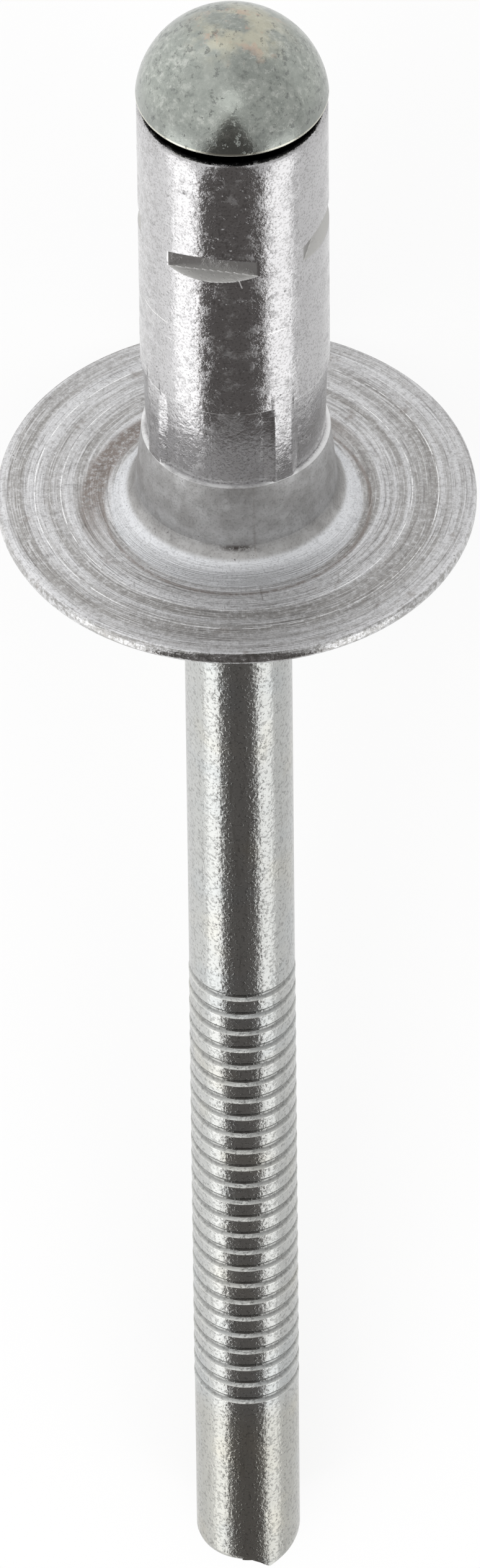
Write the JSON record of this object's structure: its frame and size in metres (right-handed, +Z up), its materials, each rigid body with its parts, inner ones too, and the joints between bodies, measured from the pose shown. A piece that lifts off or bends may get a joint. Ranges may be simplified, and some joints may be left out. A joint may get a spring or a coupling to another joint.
{
  "type": "blind rivet",
  "caption": "Unset blind rivet: notched aluminium tube with a wide thin flange, on a steel mandrel with a domed head, rolled grip grooves and a sheared tail.",
  "frame": {"origin": "centre of the rivet's footprint, on the level it lies on", "axes": "+Z up from the surface it lies on; the head points along -X and a little up, the tail along +X; Y is across"},
  "size_m": [0.0536, 0.0122, 0.0121],
  "materials": {
    "rivet_body": "satin, turned flange, fine pits and scratches",
    "mandrel": "zinc plated, satin, faint yellow and blue tints"
  },
  "bodies": {
    "root": {"rivet_body": "rivet_body", "mandrel": "mandrel"}
  },
  "joints": []
}
